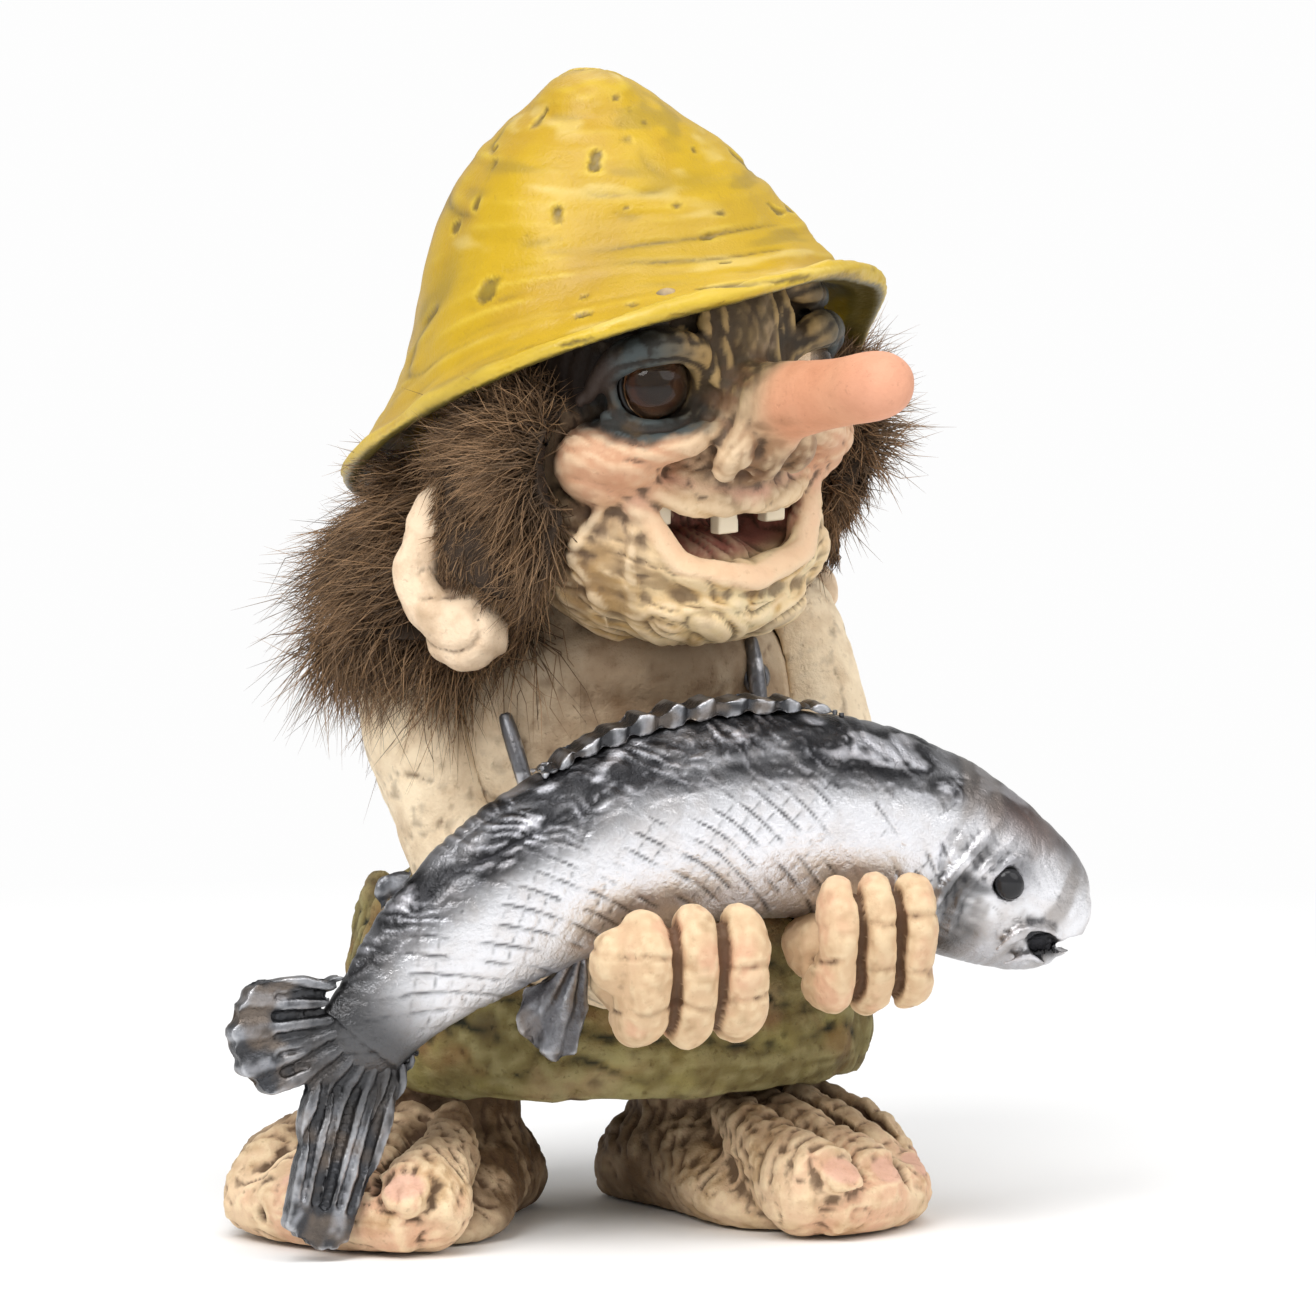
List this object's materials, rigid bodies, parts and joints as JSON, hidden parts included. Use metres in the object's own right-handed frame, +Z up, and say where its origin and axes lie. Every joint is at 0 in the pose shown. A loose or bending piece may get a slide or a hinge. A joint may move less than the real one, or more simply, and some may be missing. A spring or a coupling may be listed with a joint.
{
  "type": "troll figurine",
  "caption": "Standing folk troll figurine in a sou'wester hat and moss skirt, with a long nose and fur hair, holding a salmon in both hands.",
  "frame": {"origin": "bottom centre of the figure's overall box, on the surface it stands on", "axes": "+Z up through the hat, -Y in front of the chest and the fish, -X towards the figure's right hand, on the viewer's left"},
  "size_m": [0.1314, 0.1016, 0.1658],
  "materials": {
    "skin_paint": "cast resin, peach and cream paint with a brown wash in the wrinkles",
    "moss_paint": "cast resin, moss green paint with ochre lights",
    "yellow_paint": "cast resin, satin yellow paint with worn golden ridges and olive pits",
    "brown_fur": "long pile fur, dark brown",
    "clear_glass": "clear polished dome",
    "iris_paint": "dark brown iris around a black pupil",
    "tooth_paint": "ivory paint",
    "silver_paint": "silver paint over engraved scales, charcoal back and fins",
    "fish_eye_paint": "dark grey gloss paint",
    "grey_metal": "dull dark metal"
  },
  "bodies": {
    "root": {"torso": "skin_paint", "skirt": "moss_paint", "right_foot": "skin_paint", "left_foot": "skin_paint", "right_arm": "skin_paint", "left_arm": "skin_paint", "right_hand": "skin_paint", "left_hand": "skin_paint", "head": "skin_paint", "right_ear": "skin_paint", "left_ear": "skin_paint", "right_eye_glass": "clear_glass", "left_eye_glass": "clear_glass", "right_eye_iris": "iris_paint", "left_eye_iris": "iris_paint", "teeth": "tooth_paint", "hat": "yellow_paint", "fur_sideburn_right": "brown_fur", "fur_sideburn_left": "brown_fur", "fur_back": "brown_fur", "fish_body": "silver_paint", "fish_tail_fin": "silver_paint", "fish_dorsal_fin": "silver_paint", "fish_adipose_fin": "silver_paint", "fish_pelvic_fin": "silver_paint", "fish_eye": "fish_eye_paint", "right_brace": "grey_metal", "left_brace": "grey_metal", "brace_button": "grey_metal"}
  },
  "joints": []
}
